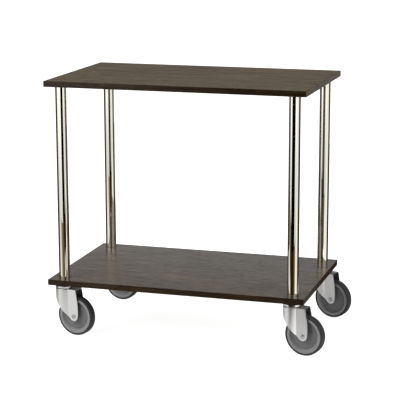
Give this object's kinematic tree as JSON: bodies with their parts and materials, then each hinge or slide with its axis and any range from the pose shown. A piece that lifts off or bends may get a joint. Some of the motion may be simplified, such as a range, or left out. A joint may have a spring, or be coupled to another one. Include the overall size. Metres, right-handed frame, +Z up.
{
  "type": "bar cart",
  "caption": "Open serving cart: flat wood-grain shelves on bright tubular corner posts, rolling on swivel castors with pressed forks.",
  "frame": {"origin": "centre of the whole cart's bounding box in plan, on the floor", "axes": "+Z up, +X along the length of the shelves, the front long side facing -Y"},
  "size_m": [0.8826, 0.5, 0.805],
  "materials": {
    "laminate": "grey-brown wood-grain laminate, satin",
    "banding": "dark brown wood-grain edge banding, satin",
    "chrome": "polished, slightly warm",
    "zinc": "bright zinc-plated pressed sheet",
    "steel": "plain turned steel",
    "cage": "black moulded plastic",
    "rim": "mid-grey moulded plastic, satin",
    "tyre": "dark grey rubber, matt"
  },
  "bodies": {
    "cart_frame": {"top_shelf": "laminate", "top_shelf_banding": "banding", "bottom_shelf": "laminate", "bottom_shelf_banding": "banding", "front_left_post": "chrome", "front_left_foot_plug": "steel", "front_left_head_plug": "steel", "front_left_stud": "steel", "front_left_insert": "steel", "front_left_upper_race": "zinc", "front_left_ball_cage": "cage", "front_left_lower_race": "steel", "front_left_bolt": "steel", "front_right_post": "chrome", "front_right_foot_plug": "steel", "front_right_head_plug": "steel", "front_right_stud": "steel", "front_right_insert": "steel", "front_right_upper_race": "zinc", "front_right_ball_cage": "cage", "front_right_lower_race": "steel", "front_right_bolt": "steel", "rear_left_post": "chrome", "rear_left_foot_plug": "steel", "rear_left_head_plug": "steel", "rear_left_stud": "steel", "rear_left_insert": "steel", "rear_left_upper_race": "zinc", "rear_left_ball_cage": "cage", "rear_left_lower_race": "steel", "rear_left_bolt": "steel", "rear_right_post": "chrome", "rear_right_foot_plug": "steel", "rear_right_head_plug": "steel", "rear_right_stud": "steel", "rear_right_insert": "steel", "rear_right_upper_race": "zinc", "rear_right_ball_cage": "cage", "rear_right_lower_race": "steel", "rear_right_bolt": "steel"},
    "front_left_castor": {"front_left_fork": "zinc", "front_left_axle": "steel", "front_left_sleeve": "steel"},
    "front_left_wheel": {"front_left_rim": "rim", "front_left_tyre": "tyre"},
    "front_right_castor": {"front_right_fork": "zinc", "front_right_axle": "steel", "front_right_sleeve": "steel"},
    "front_right_wheel": {"front_right_rim": "rim", "front_right_tyre": "tyre"},
    "rear_left_castor": {"rear_left_fork": "zinc", "rear_left_axle": "steel", "rear_left_sleeve": "steel"},
    "rear_left_wheel": {"rear_left_rim": "rim", "rear_left_tyre": "tyre"},
    "rear_right_castor": {"rear_right_fork": "zinc", "rear_right_axle": "steel", "rear_right_sleeve": "steel"},
    "rear_right_wheel": {"rear_right_rim": "rim", "rear_right_tyre": "tyre"}
  },
  "joints": [
    {"name": "front_left_swivel", "type": "hinge", "parent": "cart_frame", "child": "front_left_castor", "pos_m": [-0.3993, -0.212, 0.148], "axis": [0, 0, 1], "continuous": true},
    {"name": "front_left_roll", "type": "hinge", "parent": "front_left_castor", "child": "front_left_wheel", "pos_m": [-0.35724, -0.22094, 0.0625], "axis": [0.2079, 0.9781, 0], "continuous": true},
    {"name": "front_right_swivel", "type": "hinge", "parent": "cart_frame", "child": "front_right_castor", "pos_m": [0.3367, -0.212, 0.148], "axis": [0, 0, 1], "continuous": true},
    {"name": "front_right_roll", "type": "hinge", "parent": "front_right_castor", "child": "front_right_wheel", "pos_m": [0.3786, -0.22167, 0.0625], "axis": [0.225, 0.9744, 0], "continuous": true},
    {"name": "rear_left_swivel", "type": "hinge", "parent": "cart_frame", "child": "rear_left_castor", "pos_m": [-0.3993, 0.212, 0.148], "axis": [0, 0, 1], "continuous": true},
    {"name": "rear_left_roll", "type": "hinge", "parent": "rear_left_castor", "child": "rear_left_wheel", "pos_m": [-0.35695, 0.20453, 0.0625], "axis": [0.1736, 0.9848, 0], "continuous": true},
    {"name": "rear_right_swivel", "type": "hinge", "parent": "cart_frame", "child": "rear_right_castor", "pos_m": [0.3367, 0.212, 0.148], "axis": [0, 0, 1], "continuous": true},
    {"name": "rear_right_roll", "type": "hinge", "parent": "rear_right_castor", "child": "rear_right_wheel", "pos_m": [0.3776, 0.19871, 0.0625], "axis": [0.309, 0.9511, 0], "continuous": true}
  ]
}
